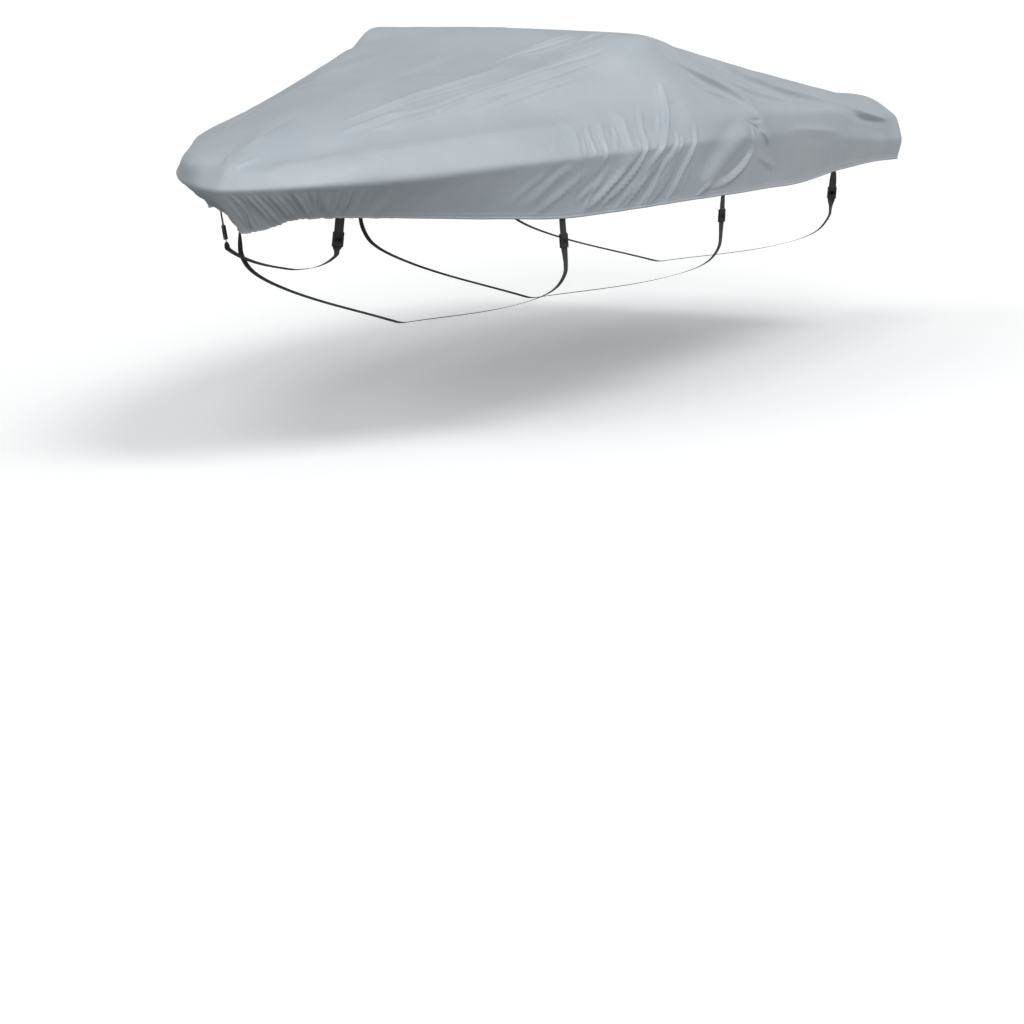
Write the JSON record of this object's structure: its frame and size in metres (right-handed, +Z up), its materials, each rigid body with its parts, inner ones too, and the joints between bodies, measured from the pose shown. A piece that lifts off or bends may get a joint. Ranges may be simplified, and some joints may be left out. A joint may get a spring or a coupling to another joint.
{
  "type": "boat cover",
  "caption": "Trailering cover for an open runabout: a two-panel sheet draped over bow, windshield and stern, with a hemmed skirt and buckled straps under the hull.",
  "frame": {"origin": "underside of the sheet at the middle of the windshield's top, where the cover bears on the boat that is left out", "axes": "+X aft towards the transom, +Y to starboard, +Z up; the boat's keel line lies in the XZ plane"},
  "size_m": [5.3669, 2.1226, 1.3076],
  "materials": {
    "cover_cloth": "grey polyester in plain weave with a light sheen",
    "strap_webbing": "black ribbed polypropylene webbing",
    "buckle_plastic": "black moulded acetal, satin"
  },
  "bodies": {
    "root": {"cover_fore_panel": "cover_cloth", "cover_main_panel": "cover_cloth", "strap_1_port_web": "strap_webbing", "strap_1_port_socket": "buckle_plastic", "strap_1_port_plug": "buckle_plastic", "strap_1_starboard_web": "strap_webbing", "strap_1_starboard_socket": "buckle_plastic", "strap_1_starboard_plug": "buckle_plastic", "strap_1_under_web": "strap_webbing", "strap_2_port_web": "strap_webbing", "strap_2_port_socket": "buckle_plastic", "strap_2_port_plug": "buckle_plastic", "strap_2_starboard_web": "strap_webbing", "strap_2_starboard_socket": "buckle_plastic", "strap_2_starboard_plug": "buckle_plastic", "strap_2_under_web": "strap_webbing", "strap_3_port_web": "strap_webbing", "strap_3_port_socket": "buckle_plastic", "strap_3_port_plug": "buckle_plastic", "strap_3_starboard_web": "strap_webbing", "strap_3_starboard_socket": "buckle_plastic", "strap_3_starboard_plug": "buckle_plastic", "strap_3_under_web": "strap_webbing", "strap_4_port_web": "strap_webbing", "strap_4_port_socket": "buckle_plastic", "strap_4_port_plug": "buckle_plastic", "strap_4_starboard_web": "strap_webbing", "strap_4_starboard_socket": "buckle_plastic", "strap_4_starboard_plug": "buckle_plastic", "strap_4_under_web": "strap_webbing"}
  },
  "joints": []
}
